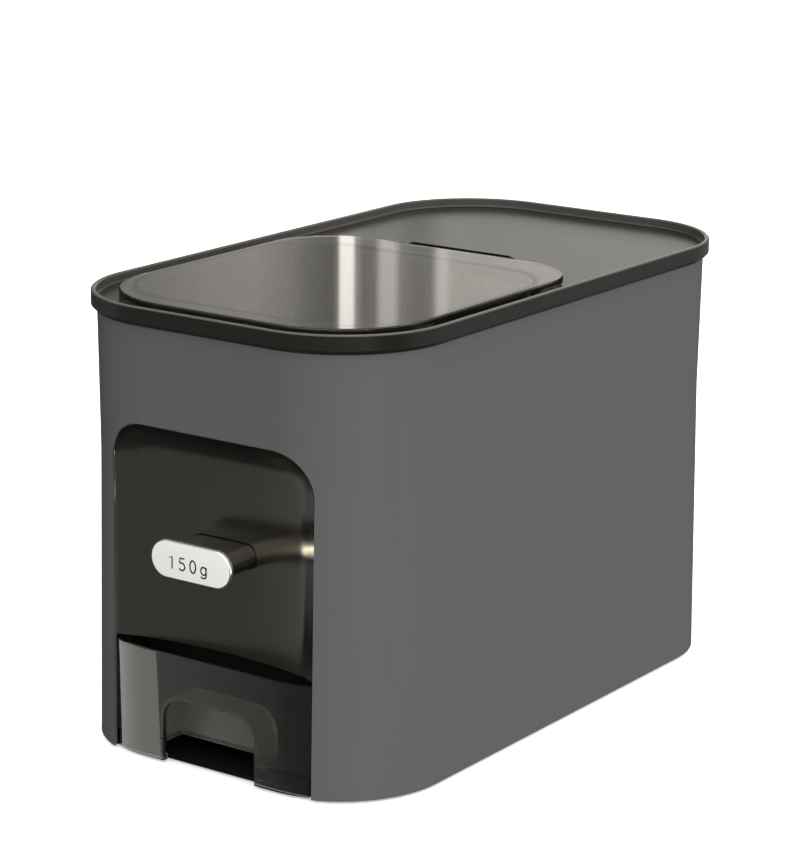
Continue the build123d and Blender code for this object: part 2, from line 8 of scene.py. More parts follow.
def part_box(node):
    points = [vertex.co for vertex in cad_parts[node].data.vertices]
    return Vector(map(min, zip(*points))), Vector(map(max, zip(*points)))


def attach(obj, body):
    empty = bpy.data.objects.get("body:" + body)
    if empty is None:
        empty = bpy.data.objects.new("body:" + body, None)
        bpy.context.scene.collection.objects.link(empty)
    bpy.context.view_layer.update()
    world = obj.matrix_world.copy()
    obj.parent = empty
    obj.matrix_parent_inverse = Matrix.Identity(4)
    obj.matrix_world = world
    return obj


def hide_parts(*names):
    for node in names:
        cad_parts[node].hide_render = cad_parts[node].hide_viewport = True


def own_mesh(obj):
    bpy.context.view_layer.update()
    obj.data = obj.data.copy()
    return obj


# Rice storage bin: finishes, modelled fronts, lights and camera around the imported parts

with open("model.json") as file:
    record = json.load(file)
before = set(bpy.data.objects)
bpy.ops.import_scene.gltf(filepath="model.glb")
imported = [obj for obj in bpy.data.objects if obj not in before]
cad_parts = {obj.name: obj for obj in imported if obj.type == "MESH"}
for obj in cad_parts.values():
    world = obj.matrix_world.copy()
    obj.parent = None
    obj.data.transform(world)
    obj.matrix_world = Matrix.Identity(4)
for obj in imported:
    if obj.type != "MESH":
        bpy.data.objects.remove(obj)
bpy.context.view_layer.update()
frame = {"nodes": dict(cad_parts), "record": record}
nodes = frame["nodes"]
print("parts loaded:", len(nodes))


# Node helpers

def addMath(tree, operation, first, second=None, third=None):
    node = tree.nodes.new("ShaderNodeMath")
    node.operation = operation
    for socket, value in zip(node.inputs, (first, second, third)):
        if isinstance(value, (int, float)):
            socket.default_value = value
        elif value is not None:
            tree.links.new(value, socket)
    return node.outputs[0]


def addVectorMath(tree, operation, *values):
    node = tree.nodes.new("ShaderNodeVectorMath")
    node.operation = operation
    for socket, value in zip(node.inputs, values):
        if isinstance(value, (tuple, Vector)):
            socket.default_value = value
        else:
            tree.links.new(value, socket)
    return node.outputs


def addSplit(tree, vector):
    node = tree.nodes.new("ShaderNodeSeparateXYZ")
    tree.links.new(vector, node.inputs[0])
    return node.outputs


def addFade(tree, value, start, end, low=0, high=1, smooth=True):
    # Runs from low at the start to high at the end, and stays level beyond both
    node = tree.nodes.new("ShaderNodeMapRange")
    node.interpolation_type = "SMOOTHSTEP" if smooth else "LINEAR"
    node.inputs["From Min"].default_value = start
    node.inputs["From Max"].default_value = end
    node.inputs["To Min"].default_value = low
    node.inputs["To Max"].default_value = high
    tree.links.new(value, node.inputs["Value"])
    return node.outputs["Result"]


# Camera, floor and lights

cameraSetup = {
    "place": (1.05013, -1.49857, 0.65321),
    "turn": 34.93,
    "tilt": 74.367,
    "roll": 0.624,
    "lens": 127.69,
    "shiftX": -0.0139,
    "shiftY": 0.0642,
    "farLimit": 60,
}

studio = {
    "floorRadius": 14.0,
    "floorSides": 96,
    "floorColour": (0.95, 0.95, 0.945),
    "floorRough": 0.9,
    "floorShine": 0.1,
    "floorGlow": 0.45,
    "skyColour": (1, 0.995, 0.985),
    "skyDim": 0.03,           # the room on its dim side
    "skyBright": 1.3,         # and on its bright side
    "skyFrom": -0.4,
    "skyTo": 0.6,
    "brightSide": (0.82, -0.44, 0.36),
    "sunPower": 0.7,
    "sunSpread": 100,
    "sunLean": (8, -10, 0),
    "fillPower": 2.4,         # soft light on the back and the left side only
    "fillSpread": 50,
    "fillAzimuth": 210,
    "fillLift": 35,
    # What upright faces mirror, by angle round from the front, to the right
    "belt": (
        (-180, 0.22), (-150, 0.10), (-140, 0.05), (-108, 0.05), (-92, 0.15), (-80, 0.26), (-70, 0.34),
        (-50, 0.165), (0, 0.12), (35, 0.20), (57, 0.45), (80, 0.5), (110, 0.4), (150, 0.38), (180, 0.22),
    ),
    # Z of a ray's direction where gloss leaves the sky for the belt, and where the belt begins to show
    "beltTop": (0.10, -0.05),
    "beltFade": (-0.55, -0.36),
    "beltLow": 0.035,         # what is left of it straight down
}

# Cards that gloss and glass find; azimuth turns from the front to the right, lift is above level
cardColour = (1, 0.972, 0.915)
cardAim = 0.14                # height of the point that they stand around
cardSoft = 0.35               # share of a card over which each edge fades
cards = [
    {"name": "cardKey", "azimuth": 62, "lift": 13, "away": 1.9, "wide": 0.4, "tall": 0.6, "bright": 5.0},
    {"name": "cardTop", "azimuth": 168, "lift": 36, "away": 2.0, "wide": 0.8, "tall": 0.14, "bright": 3.0},
    {"name": "cardEdge", "azimuth": 80, "lift": -4, "away": 1.2, "wide": 0.7, "tall": 0.9, "bright": 6.0},
    {"name": "cardBody", "azimuth": 74, "lift": 5, "away": 1.2, "wide": 0.8, "tall": 2.4, "bright": 62.0},
]

# Upright card close in front of the drawer's left, with a weaker glow at its right
footCard = {
    "left": -0.28,
    "rightLow": -0.057,
    "rightHigh": -0.062,
    "front": -0.2303,
    "low": -0.06,
    "high": 0.058,
    "bright": 2.65,
    "fadeEnd": 0.05,          # the weaker glow has run out here
    "fadeShare": 0.29,
}

# Cards that light only some pieces
cardReach = {
    "cardFoot": ("drawer_tub",),
    "cardFootFade": ("drawer_tub",),
    "cardEdge": ("buttonFace",),
    "cardBody": ("button_body",),
}

# Wall behind the bin that the lid and the deck mirror; each stop is an angle off the aim and a glow
backWall = {
    "away": 2.95,
    "low": 0.2,
    "high": 1.3,
    "bright": 0.96,
    "softAcross": 0.12,
    "softUp": 0.15,
    "stops": (
        (-9.5, 0.30), (-5.0, 0.44), (-4.0, 0.55), (-3.1, 0.58), (-2.4, 0.45), (-2.1, 0.33),
        (-1.66, 0.24), (-1.50, 0.24), (-1.45, 2.2), (-1.20, 2.2), (-1.14, 0.62), (-0.98, 0.32),
        (-0.76, 0.38), (-0.64, 1.04), (-0.38, 1.04), (-0.26, 0.49), (0.06, 0.37), (0.36, 0.41),
        (0.49, 1.17), (0.62, 1.17), (0.74, 0.88), (1.4, 0.84), (3.0, 0.9), (6.5, 1.0), (9.0, 1.0),
    ),
}


def addObject(name, data):
    piece = bpy.data.objects.new(name, data)
    bpy.context.scene.collection.objects.link(piece)
    return piece


def makeCamera(setup):
    data = bpy.data.cameras.new("camera")
    data.lens = setup["lens"]
    data.shift_x = setup["shiftX"]
    data.shift_y = setup["shiftY"]
    data.clip_end = setup["farLimit"]
    camera = addObject("camera", data)
    camera.matrix_world = (
        Matrix.Translation(setup["place"])
        @ Matrix.Rotation(radians(setup["turn"]), 4, "Z")
        @ Matrix.Rotation(radians(setup["tilt"]), 4, "X")
        @ Matrix.Rotation(radians(setup["roll"]), 4, "Z")
    )
    bpy.context.scene.camera = camera


def makeFloor(setup):
    mesh = bpy.data.meshes.new("floor")
    sheet = bmesh.new()
    sides, radius = setup["floorSides"], setup["floorRadius"]
    bmesh.ops.create_circle(sheet, cap_ends=True, segments=sides, radius=radius)
    sheet.to_mesh(mesh)
    sheet.free()
    floor = addObject("floor", mesh)
    paint = bpy.data.materials.new("paleFloor")
    paint.use_nodes = True
    tree = paint.node_tree
    shader = tree.nodes["Principled BSDF"]
    shader.inputs["Base Color"].default_value = (*setup["floorColour"], 1)
    shader.inputs["Roughness"].default_value = setup["floorRough"]
    shader.inputs["Specular IOR Level"].default_value = setup["floorShine"]
    shader.inputs["Emission Color"].default_value = (1, 1, 1, 1)
    shader.inputs["Emission Strength"].default_value = setup["floorGlow"]
    # Clear to what has met gloss even once, so that no gloss finds the floor, through glass either
    bounces = tree.nodes.new("ShaderNodeLightPath").outputs["Glossy Depth"]
    tree.links.new(addMath(tree, "LESS_THAN", bounces, 0.5), shader.inputs["Alpha"])
    mesh.materials.append(paint)
    floor.visible_glossy = False
    floor.visible_diffuse = False


def addSun(name, power, spread, turns):
    data = bpy.data.lights.new(name, "SUN")
    data.energy = power
    data.angle = radians(spread)
    sun = addObject(name, data)
    sun.rotation_euler = [radians(turn) for turn in turns]
    return sun


def makeSuns(setup):
    addSun("sunSoft", setup["sunPower"], setup["sunSpread"], setup["sunLean"])
    fillTurns = (90 - setup["fillLift"], 0, setup["fillAzimuth"])
    fill = addSun("sunFill", setup["fillPower"], setup["fillSpread"], fillTurns)
    fill.visible_glossy = False


def addSheet(name, corners):
    # One face with its corners unwrapped to a unit square
    mesh = bpy.data.meshes.new(name)
    mesh.from_pydata(corners, [], [(0, 1, 2, 3)])
    unwrap = mesh.uv_layers.new(name="sheet")
    for loop, place in zip(unwrap.data, ((0, 0), (1, 0), (1, 1), (0, 1))):
        loop.uv = place
    sheet = addObject(name, mesh)
    sheet.visible_camera = False
    sheet.visible_diffuse = False
    sheet.visible_shadow = False
    return sheet


def startGlow(sheet, bright):
    glow = bpy.data.materials.new(sheet.name + "Glow")
    glow.use_nodes = True
    tree = glow.node_tree
    shader = tree.nodes["Principled BSDF"]
    shader.inputs["Base Color"].default_value = (0, 0, 0, 1)
    shader.inputs["Specular IOR Level"].default_value = 0
    shader.inputs["Emission Color"].default_value = (*cardColour, 1)
    shader.inputs["Emission Strength"].default_value = bright
    sheet.data.materials.append(glow)
    unwrap = tree.nodes.new("ShaderNodeUVMap")
    return tree, shader, addSplit(tree, unwrap.outputs["UV"])


def fadeEdges(tree, across, softX, softY):
    # One in the middle of the sheet, nothing along its edges
    masks = []
    for place, soft in ((across["X"], softX), (across["Y"], softY)):
        nearest = addMath(tree, "MINIMUM", place, addMath(tree, "SUBTRACT", 1, place))
        masks.append(addFade(tree, nearest, 0, soft))
    return addMath(tree, "MULTIPLY", masks[0], masks[1])


def makeCard(setup):
    turn, lift = radians(setup["azimuth"]), radians(setup["lift"])
    ahead = Vector((sin(turn) * cos(lift), -cos(turn) * cos(lift), sin(lift)))
    aside = Vector((cos(turn), sin(turn), 0)) * setup["wide"] / 2
    upward = aside.cross(ahead).normalized() * setup["tall"] / 2
    middle = ahead * setup["away"] + Vector((0, 0, cardAim))
    sheet = addSheet(setup["name"], [
        middle - aside - upward, middle + aside - upward, middle + aside + upward, middle - aside + upward,
    ])
    tree, shader, across = startGlow(sheet, setup["bright"])
    tree.links.new(fadeEdges(tree, across, cardSoft, cardSoft), shader.inputs["Alpha"])


def makeFootCard(setup):
    front, low, high = setup["front"], setup["low"], setup["high"]
    sheet = addSheet("cardFoot", [
        (setup["left"], front, low), (setup["rightLow"], front, low),
        (setup["rightHigh"], front, high), (setup["left"], front, high),
    ])
    startGlow(sheet, setup["bright"])
    side = addSheet("cardFootFade", [
        (setup["rightLow"], front, low), (setup["fadeEnd"], front, low),
        (setup["fadeEnd"], front, high), (setup["rightHigh"], front, high),
    ])
    tree, shader, across = startGlow(side, setup["bright"] * setup["fadeShare"])
    tree.links.new(addMath(tree, "SUBTRACT", 1, across["X"]), shader.inputs["Alpha"])
    sheet.visible_transmission = False
    side.visible_transmission = False


def limitCards(reach):
    # Each of these cards lights only the pieces named for it
    for cardName, pieceNames in reach.items():
        group = bpy.data.collections.new(cardName + "Reach")
        for pieceName in pieceNames:
            group.objects.link(nodes.get(pieceName) or bpy.data.objects[pieceName])
        bpy.data.objects[cardName].light_linking.receiver_collection = group


def fillRamp(ramp, stops):
    # Stops are pairs of place and glow; the ramp holds the glow as a share of the strongest
    peak = max(glow for place, glow in stops)
    elements = ramp.color_ramp.elements
    for number, (place, glow) in enumerate(stops):
        if number == 0:
            element = elements[0]
        elif number == len(stops) - 1:
            element = elements[-1]
        else:
            element = elements.new(place)
        element.position = place
        element.color = (glow / peak, glow / peak, glow / peak, 1)
    return peak


def makeBackWall(setup):
    # Square to the camera's aim, so that a stop's angle gives its place along the wall
    turn = radians(cameraSetup["turn"])
    start = Vector(cameraSetup["place"])
    ahead = Vector((-sin(turn), cos(turn), 0)) * setup["away"]
    aside = Vector((cos(turn), sin(turn), 0)) * setup["away"]
    middle = Vector((start.x, start.y, 0)) + ahead
    stops = [(tan(radians(angle)), glow) for angle, glow in setup["stops"]]
    first, last = stops[0][0], stops[-1][0]
    left, right = middle + aside * first, middle + aside * last
    low, high = Vector((0, 0, setup["low"])), Vector((0, 0, setup["high"]))
    sheet = addSheet("backWall", [left + low, right + low, right + high, left + high])
    tree, shader, across = startGlow(sheet, 1)
    ramp = tree.nodes.new("ShaderNodeValToRGB")
    peak = fillRamp(ramp, [((place - first) / (last - first), glow) for place, glow in stops])
    tree.links.new(across["X"], ramp.inputs["Fac"])
    strength = addMath(tree, "MULTIPLY", ramp.outputs["Color"], peak * setup["bright"])
    tree.links.new(strength, shader.inputs["Emission Strength"])
    mask = fadeEdges(tree, across, setup["softAcross"], setup["softUp"])
    tree.links.new(mask, shader.inputs["Alpha"])


def makeRoomLight(setup):
    # Pale and brighter on one side; from just above level down, gloss finds a belt of its own
    world = bpy.data.worlds.new("room")
    bpy.context.scene.world = world
    world.use_nodes = True
    tree = world.node_tree
    background = tree.nodes["Background"]
    background.inputs["Color"].default_value = (*setup["skyColour"], 1)
    coords = tree.nodes.new("ShaderNodeTexCoord").outputs["Generated"]
    across = addSplit(tree, coords)
    brightSide = Vector(setup["brightSide"]).normalized()
    facing = addVectorMath(tree, "DOT_PRODUCT", coords, brightSide)["Value"]
    sky = addFade(tree, facing, setup["skyFrom"], setup["skyTo"], setup["skyDim"], setup["skyBright"])
    turn = addMath(tree, "ARCTAN2", across["X"], addMath(tree, "MULTIPLY", across["Y"], -1))
    ramp = tree.nodes.new("ShaderNodeValToRGB")
    peak = fillRamp(ramp, [(angle / 360 + 0.5, glow) for angle, glow in setup["belt"]])
    tree.links.new(addMath(tree, "MULTIPLY_ADD", turn, 0.5 / pi, 0.5), ramp.inputs["Fac"])
    under = addFade(tree, across["Z"], *setup["beltTop"])
    glossy = tree.nodes.new("ShaderNodeLightPath").outputs["Is Glossy Ray"]
    share = addMath(tree, "MULTIPLY", under, glossy)
    skyPart = addMath(tree, "MULTIPLY", sky, addMath(tree, "SUBTRACT", 1, share))
    whole = addFade(tree, across["Z"], *setup["beltFade"], high=peak)
    glow = addMath(tree, "MULTIPLY_ADD", ramp.outputs["Color"], whole, setup["beltLow"])
    beltPart = addMath(tree, "MULTIPLY", glow, share)
    tree.links.new(addMath(tree, "ADD", skyPart, beltPart), background.inputs["Strength"])


bpy.context.scene.view_settings.view_transform = "Standard"
makeCamera(cameraSetup)
makeFloor(studio)
makeRoomLight(studio)
makeSuns(studio)
makeFootCard(footCard)
makeBackWall(backWall)
for setup in cards:
    makeCard(setup)
print("studio ready")


# Shared effects, each a group of shader nodes

effects = {
    "grainGloss": 0.5,        # how much of a change of tone the roughness takes over
    "lineGloss": 0.6,
    "wearSamples": 4,
    "wearSharp": 6,           # how fast a turn of the surface becomes full edge wear and painted sheen
    "wearFloor": 0.3,         # edge wear and painted sheen where the noise has its hollows
}


def startGroup(name, inputs, outputs):
    group = bpy.data.node_groups.new(name, "ShaderNodeTree")
    for label, value in inputs.items():
        kind = "NodeSocketFloat" if isinstance(value, (int, float)) else "NodeSocketVector"
        socket = group.interface.new_socket(name=label, in_out="INPUT", socket_type=kind)
        socket.default_value = value
    for label in outputs:
        group.interface.new_socket(name=label, in_out="OUTPUT", socket_type="NodeSocketFloat")
    entry = group.nodes.new("NodeGroupInput")
    leave = group.nodes.new("NodeGroupOutput")
    return group, entry.outputs, leave.inputs


def addNoise(tree, coords, scale, detail=2.0, rough=0.5):
    node = tree.nodes.new("ShaderNodeTexNoise")
    node.inputs["Detail"].default_value = detail
    node.inputs["Roughness"].default_value = rough
    tree.links.new(coords, node.inputs["Vector"])
    if isinstance(scale, (int, float)):
        node.inputs["Scale"].default_value = scale
    else:
        tree.links.new(scale, node.inputs["Scale"])
    return node.outputs["Fac"]


def addSwing(tree, noise, amount):
    # Noise set about nought, as strong as the amount
    return addMath(tree, "MULTIPLY", addMath(tree, "SUBTRACT", noise, 0.5), amount)


def makeMouldGrain():
    # Fine pimple of moulded or coated skin, with a slow change of tone
    inputs = {"Grain Scale": 1400.0, "Grain": 0.1, "Mottle Scale": 14.0, "Mottle": 0.1}
    group, given, out = startGroup("mouldGrain", inputs, ["Tint", "Gloss Shift", "Height"])
    coords = group.nodes.new("ShaderNodeTexCoord").outputs["Object"]
    fine = addNoise(group, coords, given["Grain Scale"], detail=2)
    slow = addNoise(group, coords, given["Mottle Scale"], detail=4, rough=0.6)
    slowPart = addSwing(group, slow, given["Mottle"])
    finePart = addSwing(group, fine, given["Grain"])
    both = addMath(group, "ADD", slowPart, finePart)
    group.links.new(addMath(group, "ADD", both, 1), out["Tint"])
    group.links.new(addMath(group, "MULTIPLY", both, effects["grainGloss"]), out["Gloss Shift"])
    group.links.new(fine, out["Height"])
    return group


def makeBrushLines():
    # Long thin streaks; Stretch holds how fine they are along X, Y and Z
    inputs = {"Stretch": (900.0, 900.0, 3.0), "Amount": 0.2}
    group, given, out = startGroup("brushLines", inputs, ["Tint", "Gloss Shift", "Height"])
    coords = group.nodes.new("ShaderNodeTexCoord").outputs["Object"]
    stretched = addVectorMath(group, "MULTIPLY", coords, given["Stretch"])["Vector"]
    lines = addNoise(group, stretched, 1.0, detail=3, rough=0.65)
    part = addSwing(group, lines, given["Amount"])
    group.links.new(addMath(group, "ADD", part, 1), out["Tint"])
    group.links.new(addMath(group, "MULTIPLY", part, effects["lineGloss"]), out["Gloss Shift"])
    group.links.new(lines, out["Height"])
    return group


def makeEdgeWearAndSheen():
    # Edge wear and a painted edge highlight: bright where the surface turns sharply, broken up by noise
    inputs = {"Radius": 0.0008, "Breakup Scale": 160.0, "Amount": 0.5}
    group, given, out = startGroup("edgeWearAndSheen", inputs, ["Mask"])
    bevel = group.nodes.new("ShaderNodeBevel")
    bevel.samples = effects["wearSamples"]
    group.links.new(given["Radius"], bevel.inputs["Radius"])
    plain = group.nodes.new("ShaderNodeNewGeometry").outputs["Normal"]
    alike = addVectorMath(group, "DOT_PRODUCT", bevel.outputs["Normal"], plain)["Value"]
    turned = addMath(group, "MULTIPLY", addMath(group, "SUBTRACT", 1, alike), effects["wearSharp"])
    coords = group.nodes.new("ShaderNodeTexCoord").outputs["Object"]
    patches = addNoise(group, coords, given["Breakup Scale"], detail=3)
    wornAndLit = addMath(group, "MULTIPLY", turned, addMath(group, "ADD", patches, effects["wearFloor"]))
    limited = addMath(group, "MINIMUM", wornAndLit, 1)
    group.links.new(addMath(group, "MULTIPLY", limited, given["Amount"]), out["Mask"])
    return group


mouldGrain = makeMouldGrain()
brushLines = makeBrushLines()
edgeWearAndSheen = makeEdgeWearAndSheen()


# Finishes

plainBump = 0.05              # where a look names no bump of its own
plainBend = 1.45              # and no refraction
bumpDepth = 0.0002


def placeGroup(tree, group, values):
    node = tree.nodes.new("ShaderNodeGroup")
    node.node_tree = group
    for label, value in values.items():
        node.inputs[label].default_value = value
    return node.outputs


def blendColour(tree, share, under, over):
    # A Mix node set to colours has them on sockets 6 and 7, and on output 2
    node = tree.nodes.new("ShaderNodeMix")
    node.data_type = "RGBA"
    tree.links.new(share, node.inputs[0])
    tree.links.new(under, node.inputs[6])
    node.inputs[7].default_value = (*over, 1)
    return node.outputs[2]


def scaleColour(tree, colour, factor):
    node = tree.nodes.new("ShaderNodeVectorMath")
    node.operation = "SCALE"
    if isinstance(colour, tuple):
        node.inputs[0].default_value = colour
    else:
        tree.links.new(colour, node.inputs[0])
    tree.links.new(factor, node.inputs["Scale"])
    return node.outputs["Vector"]


def startMaterial(name, look):
    material = bpy.data.materials.new(name)
    material.use_nodes = True
    shader = material.node_tree.nodes["Principled BSDF"]
    shader.inputs["Metallic"].default_value = look.get("metal", 0)
    shader.inputs["IOR"].default_value = look.get("bend", plainBend)
    shader.inputs["Transmission Weight"].default_value = look.get("clear", 0)
    return material, material.node_tree, shader


def turnedAway(tree, edge):
    # Nothing where the surface faces the front, one where it has turned well away
    normal = tree.nodes.new("ShaderNodeTexCoord").outputs["Normal"]
    return addFade(tree, addSplit(tree, normal)["Y"], edge["turnFrom"], edge["turnTo"])


def lipSheenMask(tree, inner):
    # One on faces above a height that look inward or up, nothing on the outer wall; it places the rim
    # lip's painted reflection
    coords = tree.nodes.new("ShaderNodeTexCoord")
    upward = (0, 0, inner["upShare"])
    inward = addVectorMath(tree, "MULTIPLY_ADD", coords.outputs["Object"], (-1, -1, 0), upward)["Vector"]
    facing = addVectorMath(tree, "DOT_PRODUCT", inward, coords.outputs["Normal"])["Value"]
    height = addSplit(tree, coords.outputs["Object"])["Z"]
    looksIn = addFade(tree, facing, inner["turnFrom"], inner["turnTo"], smooth=False)
    isAbove = addFade(tree, height, inner["low"], inner["low"] + inner["soft"], smooth=False)
    return addMath(tree, "MULTIPLY", looksIn, isAbove)


def insideBox(tree, box):
    # One inside a box of object coordinates, fading out over its soft metres
    coords = tree.nodes.new("ShaderNodeTexCoord").outputs["Object"]
    place = addSplit(tree, coords)
    share = 1
    for axis, start, end in zip("XYZ", box["low"], box["high"]):
        middle, half = (start + end) / 2, (end - start) / 2
        away = addMath(tree, "ABSOLUTE", addMath(tree, "SUBTRACT", place[axis], middle))
        within = addFade(tree, away, half + box["soft"], half, smooth=False)
        share = addMath(tree, "MULTIPLY", within, share)
    return share


def makeFinish(name, look):
    # Colour with grain, then what else the look names, each only as strong as it says
    material, tree, shader = startMaterial(name, look)
    grain = placeGroup(tree, mouldGrain, look["grain"])
    colour = scaleColour(tree, look["colour"], grain["Tint"])
    rough = addMath(tree, "ADD", grain["Gloss Shift"], look["rough"])
    height = grain["Height"]
    if "streaks" in look:
        streaks = placeGroup(tree, brushLines, look["streaks"])
        colour = scaleColour(tree, colour, streaks["Tint"])
        rough = addMath(tree, "ADD", rough, streaks["Gloss Shift"])
        height = addMath(tree, "ADD", height, streaks["Height"])
    # Sharp edges take another colour: partly edge wear, partly a painted edge highlight
    if "wear" in look:
        wear = placeGroup(tree, edgeWearAndSheen, look["wear"])
        colour = blendColour(tree, wear["Mask"], colour, look["wearColour"])
    # The rim's lip painted paler: a painted reflection
    if "inner" in look:
        colour = blendColour(tree, lipSheenMask(tree, look["inner"]), colour, look["inner"]["colour"])
    if "bareEdge" in look:
        edge = look["bareEdge"]
        mask = turnedAway(tree, edge)
        tree.links.new(addMath(tree, "MULTIPLY", mask, edge["metal"]), shader.inputs["Metallic"])
        rough = addMath(tree, "SUBTRACT", rough, addMath(tree, "MULTIPLY", mask, edge["smoother"]))
    bump = tree.nodes.new("ShaderNodeBump")
    bump.inputs["Strength"].default_value = look.get("bump", plainBump)
    bump.inputs["Distance"].default_value = bumpDepth
    tree.links.new(height, bump.inputs["Height"])
    tree.links.new(colour, shader.inputs["Base Color"])
    tree.links.new(rough, shader.inputs["Roughness"])
    tree.links.new(bump.outputs["Normal"], shader.inputs["Normal"])
    return material


def makeSmoked(name, look):
    # Clear dark plastic; shadow rays pass it as a tint, so what lies inside stays lit
    material, tree, shader = startMaterial(name, look)
    grain = placeGroup(tree, mouldGrain, look["grain"])
    colour = scaleColour(tree, look["colour"], grain["Tint"])
    rough = addMath(tree, "ADD", grain["Gloss Shift"], look["rough"])
    # The finger pocket is painted paler, a painted brightening, and made rougher
    if "paintedPocketLightAndFrost" in look:
        paintedPocketLightAndFrost = look["paintedPocketLightAndFrost"]
        mask = insideBox(tree, paintedPocketLightAndFrost)
        colour = blendColour(tree, mask, colour, paintedPocketLightAndFrost["colour"])
        rough = addMath(tree, "ADD", rough, addMath(tree, "MULTIPLY", mask, paintedPocketLightAndFrost["rough"]))
    tree.links.new(colour, shader.inputs["Base Color"])
    tree.links.new(rough, shader.inputs["Roughness"])
    path = tree.nodes.new("ShaderNodeLightPath")
    through = tree.nodes.new("ShaderNodeBsdfTransparent")
    through.inputs["Color"].default_value = (*look["shade"], 1)
    swap = tree.nodes.new("ShaderNodeMixShader")
    tree.links.new(path.outputs["Is Shadow Ray"], swap.inputs[0])
    tree.links.new(shader.outputs[0], swap.inputs[1])
    tree.links.new(through.outputs[0], swap.inputs[2])
    tree.links.new(swap.outputs[0], tree.nodes["Material Output"].inputs["Surface"])
    return material


looks = {
    "shell_plastic": {            # satin grey coat, faint upright streaks
        "colour": (0.109, 0.109, 0.110),
        "rough": 0.42,
        "bend": 1.33,
        "grain": {"Grain Scale": 1500.0, "Grain": 0.10, "Mottle Scale": 6.0, "Mottle": 0.05},
        "streaks": {"Stretch": (420.0, 420.0, 1.2), "Amount": 0.10},
        "wear": {"Radius": 0.0008, "Amount": 0.12},
        "wearColour": (0.2, 0.2, 0.2),
        "bump": 0.04,
    },
    "black_plastic": {
        "colour": (0.005, 0.005, 0.0047),
        "rough": 0.6,
        "bend": 1.22,
        "grain": {"Grain Scale": 900.0, "Grain": 0.25, "Mottle": 0.15},
        "bump": 0.12,
    },
    "foot_rubber": {
        "colour": (0.02, 0.02, 0.02),
        "rough": 0.8,
        "grain": {"Grain Scale": 1200.0, "Grain": 0.4, "Mottle": 0.2},
        "bump": 0.25,
    },
    "screw_steel": {
        "colour": (0.56, 0.56, 0.55),
        "rough": 0.28,
        "metal": 1,
        "grain": {"Grain Scale": 2600.0, "Grain": 0.15, "Mottle Scale": 160.0, "Mottle": 0.2},
    },
    "rim_plastic": {              # smooth brown black
        "colour": (0.016, 0.0150, 0.0125),
        "rough": 0.24,
        "bend": 1.38,
        "grain": {"Grain Scale": 1800.0, "Grain": 0.06, "Mottle Scale": 9.0, "Mottle": 0.08},
        "streaks": {"Stretch": (5.0, 260.0, 260.0), "Amount": 0.08},
        "wear": {"Radius": 0.0006, "Amount": 0.15},
        "wearColour": (0.14, 0.135, 0.12),
        # The lip's top and inner wall painted a little paler, a painted reflection of the light they
        # mirror
        "inner": {
            "low": 0.2744,
            "soft": 0.0004,
            "upShare": 0.3,       # how much facing up counts beside facing the middle
            "turnFrom": -0.02,
            "turnTo": 0.06,
            "colour": (0.085, 0.08, 0.07),
        },
        "bump": 0.02,
    },
    "seal_silicone": {
        "colour": (0.16, 0.16, 0.155),
        "rough": 0.55,
        "grain": {"Grain Scale": 700.0, "Grain": 0.1, "Mottle": 0.1},
    },
    "liner_steel": {              # brushed stainless
        "colour": (0.62, 0.6, 0.565),
        "rough": 0.27,
        "metal": 1,
        "grain": {"Grain Scale": 900.0, "Grain": 0.08, "Mottle Scale": 12.0, "Mottle": 0.08},
        "streaks": {"Stretch": (700.0, 700.0, 6.0), "Amount": 0.28},
        "bump": 0.06,
    },
    "white_plastic": {
        "colour": (0.6, 0.6, 0.575),
        "rough": 0.42,
        "grain": {"Grain Scale": 900.0, "Grain": 0.08, "Mottle": 0.05},
        "bump": 0.08,
    },
    "shutter_plastic": {
        "colour": (0.2, 0.2, 0.2),
        "rough": 0.4,
        "grain": {"Grain Scale": 900.0, "Grain": 0.1, "Mottle": 0.06},
        "bump": 0.08,
    },
    "panel_plastic": {            # glossy lacquer, brown black with a metal sheen
        "colour": (0.165, 0.158, 0.138),
        "rough": 0.17,
        "metal": 0.93,
        "grain": {"Grain Scale": 2000.0, "Grain": 0.08, "Mottle Scale": 10.0, "Mottle": 0.08},
        "wear": {"Radius": 0.0006, "Amount": 0.08},
        "wearColour": (0.12, 0.115, 0.1),
        "bump": 0.03,
    },
    "button_metal": {
        "colour": (0.90, 0.885, 0.85),
        "rough": 0.3,
        # The rounded rim and the sides are bare metal
        "bareEdge": {"metal": 0.9, "turnFrom": -0.97, "turnTo": -0.85, "smoother": 0.12},
        "grain": {"Grain Scale": 2400.0, "Grain": 0.05, "Mottle Scale": 40.0, "Mottle": 0.03},
        "streaks": {"Stretch": (8.0, 900.0, 900.0), "Amount": 0.05},
        "bump": 0.02,
    },
    "spring_steel": {
        "colour": (0.45, 0.45, 0.44),
        "rough": 0.3,
        "metal": 1,
        "grain": {"Grain Scale": 1500.0, "Grain": 0.15, "Mottle": 0.15},
    },
    "smoked_drawer": {
        "colour": (0.30, 0.285, 0.255),
        "shade": (0.40, 0.39, 0.36),
        "rough": 0.05,
        "bend": 1.49,
        "clear": 0.97,
        "grain": {"Grain Scale": 1200.0, "Grain": 0.03, "Mottle Scale": 20.0, "Mottle": 0.06},
        # The thick walls of the finger pocket, painted paler as painted light, and rougher so less clear
        # than the front skin
        "paintedPocketLightAndFrost": {
            "low": (-0.038, -0.1995, 0.003),
            "high": (0.038, -0.178, 0.046),
            "soft": 0.0006,
            "colour": (0.98, 0.94, 0.86),
            "rough": 0.35,
        },
    },
    "smoked_lid": {
        "colour": (0.47, 0.44, 0.385),
        "shade": (0.62, 0.6, 0.56),
        "rough": 0.03,
        "bend": 1.49,
        "clear": 1,
        "grain": {"Grain Scale": 1200.0, "Grain": 0.03, "Mottle Scale": 20.0, "Mottle": 0.04},
    },
}

